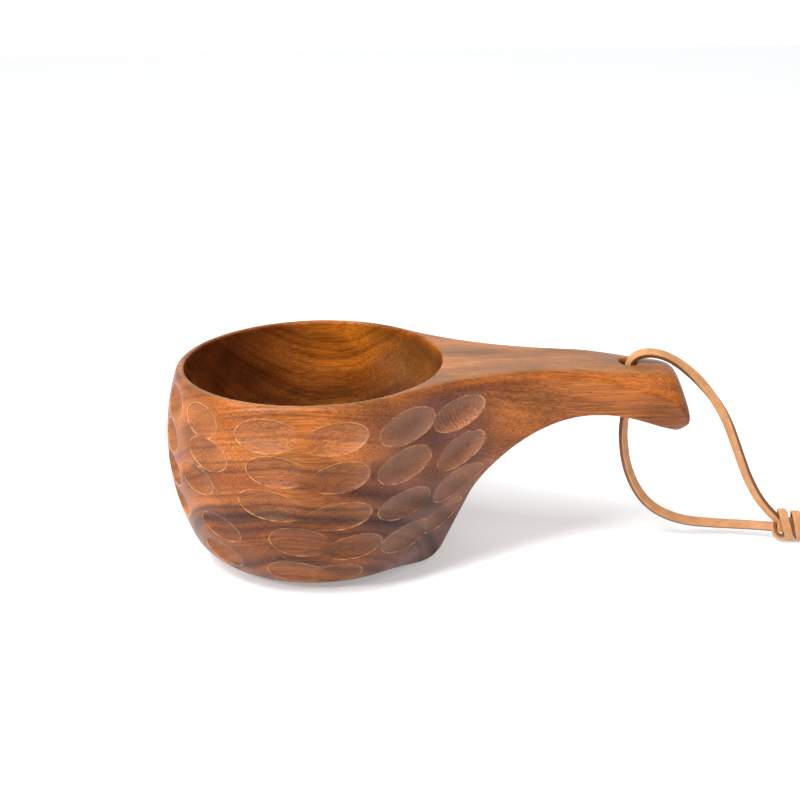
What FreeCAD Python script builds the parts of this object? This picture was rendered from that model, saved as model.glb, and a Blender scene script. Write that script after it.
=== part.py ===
"""Kuksa: a drinking cup carved from one block, with a leather thong through its handle.

Millimetres. +Z is up and +X runs from the bowl to the end of the handle. The origin is
on the table under the bowl's centre, and the cup is symmetric about the XZ plane.
"""
import FreeCAD, Part
import math
import os

import Sketcher
from FreeCAD import Placement, Rotation, Vector

# Driving dimensions of the cup and of the thong: alias, value, meaning.
DIMENSIONS = [
    ("cup_height", 65.5, "table to rim"),
    ("wall_max_radius", 49.0, "outside radius at the belly"),
    ("wall_max_height", 40.0, "height of the belly"),
    ("wall_arc_radius", 74.0, "radius of the wall seen from the side"),
    ("foot_corner_radius", 18.0, "rounding between the flat foot and the wall"),
    ("rim_inner_radius", 42.0, "radius of the mouth"),
    ("hollow_max_height", 42.0, "height of the hollow's widest place"),
    ("hollow_arc_radius", 90.0, "radius of the inside wall seen from the side"),
    ("hollow_corner_radius", 22.0, "rounding between the inside floor and wall"),
    ("floor_thickness", 6.5, "wood under the hollow"),
    ("handle_half_width", 13.2, "half the handle's width"),
    ("handle_reach", 122.4, "centre of the bowl to the end of the handle"),
    ("flank_radius_rim", 90.0, "concave shoulder between bowl and handle, at the rim"),
    ("flank_radius_foot", 600.0, "the same near the foot, where it is almost straight"),
    ("flank_low", 14.0, "height where the flank starts to turn concave"),
    ("flank_high", 50.0, "height above which the flank has its rim radius"),
    ("arch_radius", 46.0, "arch under the handle"),
    ("arch_top_x", 92.0, "highest place of the arch, along X"),
    ("arch_top_height", 49.8, "highest place of the arch"),
    ("arch_lean", 63.8, "slope in degrees of the prow below the arch"),
    ("prow_foot_radius", 11.0, "rounding between the foot and the prow"),
    ("hook_slope", 17.0, "slope in degrees of the underside at the handle's end"),
    ("hook_corner_radius", 1.8, "lower corner of the handle's end"),
    ("handle_top_start", 64.0, "where the handle's top starts to fall"),
    ("handle_top_slope", 2.6, "its slight fall in degrees towards the end"),
    ("handle_end_face", 6.8, "upright part of the handle's end face, or a little more"),
    ("handle_end_radius", 12.0, "rounding over the handle's end"),
    ("edge_radius", 1.7, "outer edge of the rim and of the handle's top"),
    ("rim_inner_edge", 0.5, "inner edge of the rim"),
    ("hole_place", 102.5, "axis of the thong hole, along X"),
    ("hole_radius", 3.0, "thong hole"),
    ("hole_edge", 0.5, "softened mouths of the thong hole"),
    ("thong_radius", 1.3, "plain round stand-in for a 3 by 2 lace"),
    ("knot_x", 158.2, "centre of the knot, along X"),
    ("knot_y", -0.8, "centre of the knot, along Y"),
    ("knot_height", 5.5, "centre of the knot above the table"),
    ("knot_half_length", 5.6, "half the knot's length"),
    ("knot_end_radius", 2.4, "radius of the knot's ends"),
    ("knot_band_radius", 1.75, "half thickness of each wrap"),
    ("knot_middle_radius", 3.5, "middle radius of each wrap"),
]

FOOT_STEPS = 5
WALL_STEPS = 7
FOOT_SWEEP = 72.0
PROW_MARGIN = 0.4
OVERCUT = 5.0
FAR = 150.0
CUT_LENGTH = 200.0

# The thong's centre line, by hand: up out of the hole, over the handle's end and down.
UPPER_ROUTE = [
    (102.5, 0.0, 56.0),
    (102.5, 0.0, 62.6),
    (104.7, 0.0, 66.2),
    (111.4, 0.0, 67.6),
    (119.6, 0.0, 65.4),
    (128.6, 0.0, 57.2),
    (135.4, 0.0, 45.6),
    (139.4, 0.0, 33.0),
    (143.6, 0.0, 21.6),
    (149.4, -0.3, 11.8),
    (155.2, -0.8, 6.6),
]
# The other strand: down out of the hole, round above the table and back to the knot.
LOWER_ROUTE = [
    (102.5, 0.0, 56.0),
    (102.4, 0.0, 49.0),
    (101.2, 0.0, 38.4),
    (103.4, 0.4, 24.6),
    (110.2, 1.5, 12.4),
    (121.4, 3.2, 5.9),
    (134.6, 4.2, 4.2),
    (146.8, 2.8, 4.1),
    (155.2, -0.2, 4.6),
]
TAIL_ROUTES = {
    "thong_tail_long": [
        (161.4, 0.6, 4.6),
        (166.6, 1.9, 3.2),
        (171.8, 2.6, 1.9),
        (177.6, 4.4, 1.5),
    ],
    "thong_tail_short": [
        (161.4, -2.4, 4.4),
        (166.2, -4.0, 3.0),
        (170.8, -5.8, 1.8),
        (175.4, -8.4, 1.5),
    ],
}

doc = FreeCAD.newDocument("kuksa")
sheet = doc.addObject("Spreadsheet::Sheet", "Dimensions")
next_row = 1


def add_cell(alias, value, meaning):
    """Write one plain number to the sheet under a name."""
    global next_row
    sheet.set(f"A{next_row}", meaning)
    sheet.set(f"B{next_row}", f"{value:.6f}")
    sheet.setAlias(f"B{next_row}", alias)
    next_row += 1


def dim(alias):
    """Value of a named cell."""
    return float(sheet.get(alias))


def bind(target, prop, alias):
    """Tie a property or a constraint to a named cell."""
    target.setExpression(prop, f"{sheet.Name}.{alias}")


# ---------------------------------------------------------------- profile formulas

def wall_centre_x():
    return dim("wall_max_radius") - dim("wall_arc_radius")


def foot_centre_x():
    """Centre of the foot's rounding, which meets the wall arc from inside."""
    gap = dim("wall_arc_radius") - dim("foot_corner_radius")
    rise = dim("wall_max_height") - dim("foot_corner_radius")
    return wall_centre_x() + math.sqrt(gap ** 2 - rise ** 2)


def wall_radius(height):
    """Outside radius of the bowl at a height."""
    corner = dim("foot_corner_radius")
    wall = dim("wall_arc_radius")
    lean = (foot_centre_x() - wall_centre_x()) / (wall - corner)
    meet = corner - corner * math.sqrt(1.0 - lean ** 2)
    if height < meet:
        return foot_centre_x() + math.sqrt(corner ** 2 - (height - corner) ** 2)
    rise = height - dim("wall_max_height")
    return wall_centre_x() + math.sqrt(wall ** 2 - rise ** 2)


def arch_centre():
    """Centre (x, z) of the arch under the handle."""
    return dim("arch_top_x"), dim("arch_top_height") - dim("arch_radius")


def arch_start():
    """Point where the straight prow meets the arch."""
    x, z = arch_centre()
    lean = math.radians(dim("arch_lean"))
    return x - dim("arch_radius") * math.sin(lean), z + dim("arch_radius") * math.cos(lean)


def prow_foot_centre():
    """Centre (x, z) of the rounding between the foot and the prow."""
    x, z = arch_start()
    lean = math.radians(dim("arch_lean"))
    radius = dim("prow_foot_radius")
    run = (z - radius) / math.tan(lean)
    return x - run - radius / math.sin(lean), radius


def prow_x(height):
    """Where the side outline stands at a height, up to the top of the arch."""
    start_x, start_z = arch_start()
    lean = math.radians(dim("arch_lean"))
    foot_x, foot_z = prow_foot_centre()
    radius = dim("prow_foot_radius")
    corner_top = foot_z - radius * math.cos(lean)
    if height < corner_top:
        return foot_x + math.sqrt(radius ** 2 - (foot_z - height) ** 2)
    if height < start_z:
        return start_x - (start_z - height) / math.tan(lean)
    x, z = arch_centre()
    return x - math.sqrt(max(dim("arch_radius") ** 2 - (height - z) ** 2, 0.0))


def flank_radius(height):
    """Radius of the concave flank, from nearly straight low down to the rim's."""
    share = (height - dim("flank_low")) / (dim("flank_high") - dim("flank_low"))
    share = min(max(share, 0.0), 1.0)
    low = dim("flank_radius_foot")
    return low * (dim("flank_radius_rim") / low) ** share


def flank_reach(height):
    """Where the flank meets the straight side of the handle."""
    radius = wall_radius(height)
    flank = flank_radius(height)
    half = dim("handle_half_width")
    tangent = math.sqrt((radius + flank) ** 2 - (half + flank) ** 2)
    if height >= dim("flank_high"):
        return tangent
    return min(prow_x(height) + PROW_MARGIN, tangent)


def flank_centre(radius, flank, reach, half):
    """Centre of the flank arc: it touches the bowl circle and ends at (reach, half)."""
    span = math.hypot(reach, half)
    along = ((radius + flank) ** 2 - flank ** 2 + span ** 2) / (2.0 * span)
    across = math.sqrt((radius + flank) ** 2 - along ** 2)
    ux = reach / span
    uy = half / span
    return Vector(along * ux - across * uy, along * uy + across * ux, 0)


# ---------------------------------------------------------------- sketch helpers

def new_body(name):
    body = doc.addObject("PartDesign::Body", name)
    body.Label = name
    return body


def new_sketch(body, plane_role, name):
    """Sketch on one of the body's own origin planes."""
    sketch = body.newObject("Sketcher::SketchObject", name)
    plane = next(f for f in body.Origin.OriginFeatures if f.Role == plane_role)
    sketch.AttachmentSupport = [(plane, "")]
    sketch.MapMode = "FlatFace"
    return sketch


def line(start, end):
    return Part.LineSegment(start, end)


def circle_arc(centre, radius, start, end):
    """Counter-clockwise arc between two angles in radians."""
    circle = Part.Circle(centre, Vector(0, 0, 1), radius)
    return Part.ArcOfCircle(circle, start, end)


def angle_of(point, centre):
    return math.atan2(point.y - centre.y, point.x - centre.x)


def fix(sketch, name, alias, *args):
    """Add a named dimension constraint and bind it to a cell."""
    number = sketch.addConstraint(Sketcher.Constraint(*args, dim(alias)))
    sketch.renameConstraint(number, name)
    bind(sketch, f"Constraints.{name}", alias)


def join(sketch, pairs):
    """Make consecutive edges share their end points."""
    for first, first_end, second, second_end in pairs:
        sketch.addConstraint(
            Sketcher.Constraint("Coincident", first, first_end, second, second_end)
        )


# ---------------------------------------------------------------- cup

def station_heights():
    """Heights of the sections: even steps round the foot, then up past the rim."""
    corner = dim("foot_corner_radius")
    angles = [math.radians(FOOT_SWEEP * i / FOOT_STEPS) for i in range(FOOT_STEPS + 1)]
    foot = [corner * (1.0 - math.cos(a)) for a in angles]
    rise = (dim("cup_height") + OVERCUT - foot[-1]) / WALL_STEPS
    return foot + [foot[-1] + rise * i for i in range(1, WALL_STEPS + 1)]


def add_station_cells():
    """Write each section's sizes to the sheet, worked out from the driving ones."""
    heights = station_heights()
    for number, height in enumerate(heights):
        add_cell(f"station_{number}_height", height, f"section {number}: height")
        add_cell(f"station_{number}_wall", wall_radius(height), "bowl radius")
        add_cell(f"station_{number}_flank", flank_radius(height), "flank radius")
        add_cell(f"station_{number}_reach", flank_reach(height), "end of the flank")
    add_cell("bar_end", dim("handle_reach") + OVERCUT, "block end, before shaping")
    return len(heights)


def section_sketch(body, number):
    """Horizontal section: bowl arc, two concave flanks and the handle's bar."""
    prefix = f"station_{number}"
    radius = dim(f"{prefix}_wall")
    flank = dim(f"{prefix}_flank")
    reach = dim(f"{prefix}_reach")
    half = dim("handle_half_width")
    end = dim("bar_end")

    centre = flank_centre(radius, flank, reach, half)
    touch = centre * (radius / (radius + flank))
    corner = Vector(reach, half, 0)
    tip = Vector(end, half, 0)

    def mirrored(point):
        return Vector(point.x, -point.y, 0)

    touch_angle = math.atan2(touch.y, touch.x)
    upper = (angle_of(touch, centre), angle_of(corner, centre))
    low_centre = mirrored(centre)

    sketch = new_sketch(body, "XY_Plane", f"section_{number}")
    sketch.AttachmentOffset = Placement(Vector(0, 0, dim(f"{prefix}_height")), Rotation())
    bind(sketch, ".AttachmentOffset.Base.z", f"{prefix}_height")
    origin = Vector(0, 0, 0)
    sketch.addGeometry(circle_arc(origin, radius, touch_angle, -touch_angle), False)
    sketch.addGeometry(circle_arc(low_centre, flank, -upper[1], -upper[0]), False)
    sketch.addGeometry(line(mirrored(corner), mirrored(tip)), False)
    sketch.addGeometry(line(mirrored(tip), tip), False)
    sketch.addGeometry(line(tip, corner), False)
    sketch.addGeometry(circle_arc(centre, flank, upper[0], upper[1]), False)

    join(sketch, [(1, 1, 2, 1), (2, 2, 3, 1), (3, 2, 4, 1), (4, 2, 5, 2), (0, 3, -1, 1)])
    fix(sketch, "bowl_radius", f"{prefix}_wall", "Radius", 0)
    fix(sketch, "flank_radius", f"{prefix}_flank", "Radius", 5)
    fix(sketch, "flank_reach", f"{prefix}_reach", "DistanceX", -1, 1, 4, 2)
    fix(sketch, "bar_half_width", "handle_half_width", "DistanceY", -1, 1, 4, 2)
    fix(sketch, "bar_reach", "bar_end", "DistanceX", -1, 1, 4, 1)
    sketch.addConstraint(Sketcher.Constraint("Horizontal", 4))
    sketch.addConstraint(Sketcher.Constraint("Tangent", 5, 1, 0, 1))
    sketch.addConstraint(Sketcher.Constraint("Tangent", 0, 2, 1, 2))
    sketch.addConstraint(Sketcher.Constraint("Symmetric", 4, 1, 2, 2, -1))
    sketch.addConstraint(Sketcher.Constraint("Symmetric", 4, 2, 2, 1, -1))
    sketch.addConstraint(Sketcher.Constraint("Equal", 5, 1))
    return sketch


def add_outline(body, name, edges):
    """Closed sketch on the XZ plane: each edge and which of its ends comes first."""
    sketch = new_sketch(body, "XZ_Plane", name)
    for edge, _ in edges:
        sketch.addGeometry(edge, False)
    for i, (_, first_end) in enumerate(edges):
        after = (i + 1) % len(edges)
        join(sketch, [(i, 3 - first_end, after, edges[after][1])])
    return sketch


def underside_sketch(body):
    """Everything outside the prow, the arch and the underside of the handle's end."""
    reach = dim("handle_reach")
    lean = math.radians(dim("arch_lean"))
    hook = math.radians(dim("hook_slope"))
    half_turn = math.pi / 2.0

    foot = Vector(*prow_foot_centre(), 0)
    foot_radius = dim("prow_foot_radius")
    foot_point = Vector(foot.x, 0, 0)
    prow_low = foot + Vector(math.sin(lean), -math.cos(lean), 0) * foot_radius
    prow_high = Vector(*arch_start(), 0)
    arch = Vector(*arch_centre(), 0)
    arch_radius = dim("arch_radius")
    arch_end = arch + Vector(math.sin(hook), math.cos(hook), 0) * arch_radius

    # The hook's lower corner touches the sloping underside and the upright end face.
    corner_radius = dim("hook_corner_radius")
    inward = Vector(math.sin(hook), math.cos(hook), 0) * corner_radius
    run = reach - corner_radius - inward.x - arch_end.x
    corner_low = arch_end + Vector(run, -run * math.tan(hook), 0)
    corner = corner_low + inward
    corner_end = Vector(reach, corner.y, 0)

    below = Vector(foot.x, -OVERCUT, 0)
    far_high = Vector(FAR, corner.y, 0)
    far_low = Vector(FAR, -OVERCUT, 0)
    sketch = add_outline(body, "underside_outline", [
        (line(below, foot_point), 1),
        (circle_arc(foot, foot_radius, -half_turn, angle_of(prow_low, foot)), 1),
        (line(prow_low, prow_high), 1),
        (circle_arc(arch, arch_radius, half_turn - hook, half_turn + lean), 2),
        (line(arch_end, corner_low), 1),
        (circle_arc(corner, corner_radius, angle_of(corner_low, corner), 0.0), 1),
        (line(corner_end, far_high), 1),
        (line(far_high, far_low), 1),
        (line(far_low, below), 1),
    ])
    fix(sketch, "foot_radius", "prow_foot_radius", "Radius", 1)
    fix(sketch, "arch_radius", "arch_radius", "Radius", 3)
    fix(sketch, "arch_top_x", "arch_top_x", "DistanceX", -1, 1, 3, 3)
    fix(sketch, "corner_radius", "hook_corner_radius", "Radius", 5)
    fix(sketch, "handle_reach", "handle_reach", "DistanceX", -1, 1, 5, 2)
    return sketch


def top_sketch(body):
    """Everything above the rim and the handle's falling top, and beyond its end face."""
    height = dim("cup_height")
    reach = dim("handle_reach")
    slope = math.radians(dim("handle_top_slope"))
    end_radius = dim("handle_end_radius")

    # The end's rounding meets the gently falling top and the upright end face.
    start = Vector(dim("handle_top_start"), height, 0)
    end_x = reach - end_radius
    fall = (end_x - start.x) * math.tan(slope)
    end = Vector(end_x, height - fall - end_radius / math.cos(slope), 0)
    end_low = Vector(reach, end.y, 0)
    end_high = end + Vector(math.sin(slope), math.cos(slope), 0) * end_radius
    face_low = Vector(reach, end.y - dim("handle_end_face"), 0)

    above = height + 2.0 * OVERCUT
    rim = Vector(-FAR, height, 0)
    far_left = Vector(-FAR, above, 0)
    far_high = Vector(FAR, above, 0)
    far_low = Vector(FAR, face_low.y, 0)
    sketch = add_outline(body, "top_outline", [
        (line(face_low, end_low), 1),
        (circle_arc(end, end_radius, 0.0, math.pi / 2.0 - slope), 1),
        (line(end_high, start), 1),
        (line(start, rim), 1),
        (line(rim, far_left), 1),
        (line(far_left, far_high), 1),
        (line(far_high, far_low), 1),
        (line(far_low, face_low), 1),
    ])
    fix(sketch, "handle_reach", "handle_reach", "DistanceX", -1, 1, 0, 1)
    fix(sketch, "end_radius", "handle_end_radius", "Radius", 1)
    fix(sketch, "top_start", "handle_top_start", "DistanceX", -1, 1, 2, 2)
    fix(sketch, "rim_height", "cup_height", "DistanceY", -1, 1, 2, 2)
    return sketch


def hollow_sketch(body):
    """Half section of the hollow, turned about the bowl's axis."""
    height = dim("cup_height")
    floor = dim("floor_thickness")
    corner_radius = dim("hollow_corner_radius")
    wall = dim("hollow_arc_radius")
    rise = height - dim("hollow_max_height")
    centre = Vector(
        dim("rim_inner_radius") - math.sqrt(wall ** 2 - rise ** 2),
        dim("hollow_max_height"),
        0,
    )
    rim_angle = math.asin(rise / wall)
    rim = Vector(dim("rim_inner_radius"), height, 0)
    gap = wall - corner_radius
    drop = centre.y - (floor + corner_radius)
    corner = Vector(centre.x + math.sqrt(gap ** 2 - drop ** 2), floor + corner_radius, 0)
    meet_angle = angle_of(corner, centre)
    floor_end = Vector(corner.x, floor, 0)
    floor_middle = Vector(0, floor, 0)
    top_middle = Vector(0, height + OVERCUT, 0)
    top_edge = Vector(rim.x, height + OVERCUT, 0)

    sketch = new_sketch(body, "XZ_Plane", "hollow_profile")
    edges = [
        line(top_middle, floor_middle),
        line(floor_middle, floor_end),
        circle_arc(corner, corner_radius, -math.pi / 2.0, meet_angle),
        circle_arc(centre, wall, meet_angle, rim_angle),
        line(rim, top_edge),
        line(top_edge, top_middle),
    ]
    for edge in edges:
        sketch.addGeometry(edge, False)
    join(sketch, [(0, 2, 1, 1), (1, 2, 2, 1), (2, 2, 3, 1), (3, 2, 4, 1)])
    join(sketch, [(4, 2, 5, 1), (5, 2, 0, 1)])
    sketch.addConstraint(Sketcher.Constraint("PointOnObject", 0, 1, -2))
    sketch.addConstraint(Sketcher.Constraint("Vertical", 0))
    sketch.addConstraint(Sketcher.Constraint("Horizontal", 1))
    fix(sketch, "floor_height", "floor_thickness", "DistanceY", -1, 1, 0, 2)
    fix(sketch, "corner_radius", "hollow_corner_radius", "Radius", 2)
    fix(sketch, "wall_radius", "hollow_arc_radius", "Radius", 3)
    fix(sketch, "mouth_radius", "rim_inner_radius", "DistanceX", -1, 1, 3, 2)
    fix(sketch, "rim_height", "cup_height", "DistanceY", -1, 1, 3, 2)
    return sketch


def hole_sketch(body):
    """Circle of the thong hole."""
    sketch = new_sketch(body, "XY_Plane", "thong_hole_circle")
    centre = Vector(dim("hole_place"), 0, 0)
    sketch.addGeometry(Part.Circle(centre, Vector(0, 0, 1), dim("hole_radius")), False)
    sketch.addConstraint(Sketcher.Constraint("PointOnObject", 0, 3, -1))
    fix(sketch, "hole_radius", "hole_radius", "Radius", 0)
    fix(sketch, "hole_place", "hole_place", "DistanceX", -1, 1, 0, 3)
    return sketch


def add_cut(body, kind, name, sketch, settings):
    """Add a pocket or groove and make sure that it removes wood."""
    before = body.Tip.Shape.Volume
    feature = body.newObject(kind, name)
    feature.Profile = sketch
    for prop, value in settings.items():
        setattr(feature, prop, value)
    doc.recompute()
    removed = before - feature.Shape.Volume
    if removed <= 0.0:
        raise RuntimeError(f"{name} removes nothing")
    return feature


def edge_names(shape, wanted):
    """Names of the edges whose every sample point passes a test."""
    names = []
    for number, edge in enumerate(shape.Edges, start=1):
        points = edge.discretize(7)
        if all(wanted(p) for p in points):
            names.append(f"Edge{number}")
    return names


def add_fillet(body, name, alias, wanted):
    """Round the edges that pass a test, with a radius from the sheet."""
    base = body.Tip
    fillet = body.newObject("PartDesign::Fillet", name)
    fillet.Base = (base, edge_names(base.Shape, wanted))
    bind(fillet, "Radius", alias)
    doc.recompute()
    return fillet


def on_top_edge(point):
    """Outer edge of the rim and of the handle's top, down to the end's upright face."""
    on_rim = math.hypot(point.x, point.y) > dim("rim_inner_radius") + 1.0
    if point.x < dim("handle_top_start") - 1.0:
        return on_rim and point.z > dim("cup_height") - 0.01
    end_low = dim("cup_height") - 16.0
    on_side = abs(point.y) > dim("handle_half_width") - 1.5
    return on_side and point.z > end_low


def on_mouth_edge(point):
    near = abs(math.hypot(point.x, point.y) - dim("rim_inner_radius")) < 0.05
    return near and point.z > dim("cup_height") - 0.05


def on_hole_edge(point):
    away = math.hypot(point.x - dim("hole_place"), point.y) - dim("hole_radius")
    return abs(away) < 0.05 and point.z > dim("cup_height") - 20.0


def make_cup(stations):
    """The carved cup: one block for bowl and handle."""
    body = new_body("cup")
    sections = [section_sketch(body, number) for number in range(stations)]
    doc.recompute()
    block = body.newObject("PartDesign::AdditiveLoft", "carved_block")
    block.Profile = (sections[0], [""])
    block.Sections = [(sketch, [""]) for sketch in sections[1:]]
    doc.recompute()

    through = {"SideType": "Symmetric", "Length": CUT_LENGTH}
    underside = underside_sketch(body)
    doc.recompute()
    add_cut(body, "PartDesign::Pocket", "underside", underside, through)
    top = top_sketch(body)
    doc.recompute()
    add_cut(body, "PartDesign::Pocket", "rim_and_handle_top", top, through)
    add_fillet(body, "soft_outer_edge", "edge_radius", on_top_edge)

    hollow = hollow_sketch(body)
    doc.recompute()
    turn = {"ReferenceAxis": (hollow, ["V_Axis"]), "Angle": 360.0}
    add_cut(body, "PartDesign::Groove", "hollow", hollow, turn)
    add_fillet(body, "soft_mouth_edge", "rim_inner_edge", on_mouth_edge)

    hole = hole_sketch(body)
    doc.recompute()
    add_cut(body, "PartDesign::Pocket", "thong_hole", hole, through)
    add_fillet(body, "soft_hole_edges", "hole_edge", on_hole_edge)
    return body


# ---------------------------------------------------------------- thong

def rounded_path(points, label):
    """Straight runs joined by tangent arcs, as large as the runs allow."""
    nodes = [Vector(*p) for p in points]
    runs = [(b - a).Length for a, b in zip(nodes, nodes[1:])]
    edges = []
    radii = []
    last = nodes[0]
    for i in range(1, len(nodes) - 1):
        before = (nodes[i] - nodes[i - 1]).normalize()
        after = (nodes[i + 1] - nodes[i]).normalize()
        turn = before.getAngle(after)
        cut = 0.45 * min(runs[i - 1], runs[i])
        radii.append(cut / math.tan(turn / 2.0))
        start = nodes[i] - before * cut
        end = nodes[i] + after * cut
        inward = (after - before).normalize()
        depth = radii[-1] / math.cos(turn / 2.0) - radii[-1]
        middle = nodes[i] + inward * depth
        edges.append(Part.LineSegment(last, start).toShape())
        edges.append(Part.Arc(start, middle, end).toShape())
        last = end
    edges.append(Part.LineSegment(last, nodes[-1]).toShape())
    wire = Part.Wire(edges)
    print(label, "radii", [round(r, 1) for r in radii], "length", round(wire.Length, 1))
    return wire


def make_thong_run(name, points):
    """Plain round tube along a route."""
    wire = rounded_path(points, name)
    radius = dim("thong_radius")
    start = Vector(*points[0])
    along = Vector(*points[1]) - start
    ring = Part.Wire(Part.Circle(start, along, radius).toShape())
    tube = wire.makePipeShell([ring], True, False)
    expected = math.pi * radius ** 2 * wire.Length
    if abs(tube.Volume / expected - 1.0) > 0.01:
        raise RuntimeError(f"{name} has volume {tube.Volume:.1f}, not {expected:.1f}")
    feature = doc.addObject("Part::Feature", name)
    feature.Label = name
    feature.Shape = tube
    feature.Placement = Placement()
    return feature


def make_knot():
    """The doubled overhand knot: two round wraps side by side, tapering to each end."""
    body = new_body("thong_knot")
    band = dim("knot_band_radius")
    middle = dim("knot_middle_radius")
    half = dim("knot_half_length")
    end = dim("knot_end_radius")
    left = Vector(-2.0 * band, middle, 0)
    right = Vector(2.0 * band, middle, 0)
    valley = Vector(0, middle, 0)
    corners = [Vector(-half, 0, 0), Vector(-half, end, 0), Vector(half, end, 0), Vector(half, 0, 0)]

    sketch = new_sketch(body, "XZ_Plane", "knot_profile")
    edges = [
        line(corners[0], corners[1]),
        line(corners[1], left),
        circle_arc((left + valley) * 0.5, band, 0.0, math.pi),
        circle_arc((right + valley) * 0.5, band, 0.0, math.pi),
        line(right, corners[2]),
        line(corners[2], corners[3]),
        line(corners[3], corners[0]),
    ]
    for edge in edges:
        sketch.addGeometry(edge, False)
    join(sketch, [(0, 2, 1, 1), (1, 2, 2, 2), (2, 1, 3, 2), (3, 1, 4, 1), (4, 2, 5, 1)])
    join(sketch, [(5, 2, 6, 1), (6, 2, 0, 1)])
    fix(sketch, "first_wrap", "knot_band_radius", "Radius", 2)
    fix(sketch, "second_wrap", "knot_band_radius", "Radius", 3)
    fix(sketch, "middle_radius", "knot_middle_radius", "DistanceY", -1, 1, 2, 3)
    fix(sketch, "half_length", "knot_half_length", "DistanceX", -1, 1, 6, 1)
    doc.recompute()

    turned = body.newObject("PartDesign::Revolution", "knot_wraps")
    turned.Profile = sketch
    turned.ReferenceAxis = (sketch, ["H_Axis"])
    turned.Angle = 360.0
    bind(body, ".Placement.Base.x", "knot_x")
    bind(body, ".Placement.Base.y", "knot_y")
    bind(body, ".Placement.Base.z", "knot_height")
    return body


# ---------------------------------------------------------------- document

def check_and_export(pieces):
    """Stop on any failed object, then write one STEP file for each piece."""
    doc.recompute()
    for item in doc.Objects:
        if "Invalid" in item.State or "Error" in item.State:
            raise RuntimeError(f"{item.Name} failed: {item.State}")
    for piece in pieces:
        shape = piece.Shape
        if shape.isNull() or not shape.isValid() or len(shape.Solids) != 1:
            raise RuntimeError(f"{piece.Label} is not one valid solid")
    os.makedirs("parts", exist_ok=True)
    for piece in pieces:
        piece.Shape.exportStep(f"parts/{piece.Label}.step")
        box = piece.Shape.BoundBox
        low = [round(v, 2) for v in (box.XMin, box.YMin, box.ZMin)]
        high = [round(v, 2) for v in (box.XMax, box.YMax, box.ZMax)]
        print(piece.Label, low, high, "volume", round(piece.Shape.Volume, 1))


for row in DIMENSIONS:
    add_cell(*row)
doc.recompute()
station_count = add_station_cells()
doc.recompute()

cup = make_cup(station_count)
thong_upper = make_thong_run("thong_upper", UPPER_ROUTE)
thong_lower = make_thong_run("thong_lower", LOWER_ROUTE)
knot = make_knot()
tails = [make_thong_run(name, route) for name, route in TAIL_ROUTES.items()]
check_and_export([cup, thong_upper, thong_lower, knot] + tails)
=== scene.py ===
"""Kuksa: a cup carved from one block of wood, with a leather lace through its handle."""
import math
import bpy
import numpy as np
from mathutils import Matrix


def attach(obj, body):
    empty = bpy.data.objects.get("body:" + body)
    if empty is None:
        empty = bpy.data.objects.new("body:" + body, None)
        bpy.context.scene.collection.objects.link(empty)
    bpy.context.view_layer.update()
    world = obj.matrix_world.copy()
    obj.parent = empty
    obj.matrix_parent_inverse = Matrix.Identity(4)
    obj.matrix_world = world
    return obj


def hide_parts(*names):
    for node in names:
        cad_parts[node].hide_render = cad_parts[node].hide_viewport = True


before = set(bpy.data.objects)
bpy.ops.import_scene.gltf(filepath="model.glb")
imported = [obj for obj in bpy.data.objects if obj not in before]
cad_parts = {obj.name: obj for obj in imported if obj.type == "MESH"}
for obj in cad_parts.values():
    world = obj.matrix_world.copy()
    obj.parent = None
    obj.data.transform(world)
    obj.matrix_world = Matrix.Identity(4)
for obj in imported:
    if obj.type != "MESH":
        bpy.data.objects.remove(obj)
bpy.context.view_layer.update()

import openvdb
from mathutils import Matrix, Vector

MM = 0.001

# ---------------------------------------------------------------- camera

CAMERA_AIM = Vector((28.04, 0.0, 51.35)) * MM
CAMERA_DISTANCE = 550.0 * MM
CAMERA_AZIMUTH = math.radians(1.82)
CAMERA_ELEVATION = math.radians(20.33)
CAMERA_ROLL = math.radians(1.15)
CAMERA_LENS = 75.19


def add_camera():
    """Camera that looks at its aim, turned a little about its own axis."""
    data = bpy.data.cameras.new("camera")
    data.lens = CAMERA_LENS
    data.sensor_width = 36.0
    data.clip_start = 0.01
    camera = bpy.data.objects.new("camera", data)
    bpy.context.scene.collection.objects.link(camera)
    back = Vector((
        math.sin(CAMERA_AZIMUTH) * math.cos(CAMERA_ELEVATION),
        -math.cos(CAMERA_AZIMUTH) * math.cos(CAMERA_ELEVATION),
        math.sin(CAMERA_ELEVATION),
    ))
    right = (-back).cross(Vector((0, 0, 1))).normalized()
    up = right.cross(-back)
    side = right * math.cos(CAMERA_ROLL) - up * math.sin(CAMERA_ROLL)
    top = up * math.cos(CAMERA_ROLL) + right * math.sin(CAMERA_ROLL)
    turn = Matrix((side, top, back)).transposed()
    camera.matrix_world = Matrix.Translation(CAMERA_AIM + back * CAMERA_DISTANCE) @ turn.to_4x4()
    bpy.context.scene.camera = camera


# ---------------------------------------------------------------- node helper

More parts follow.
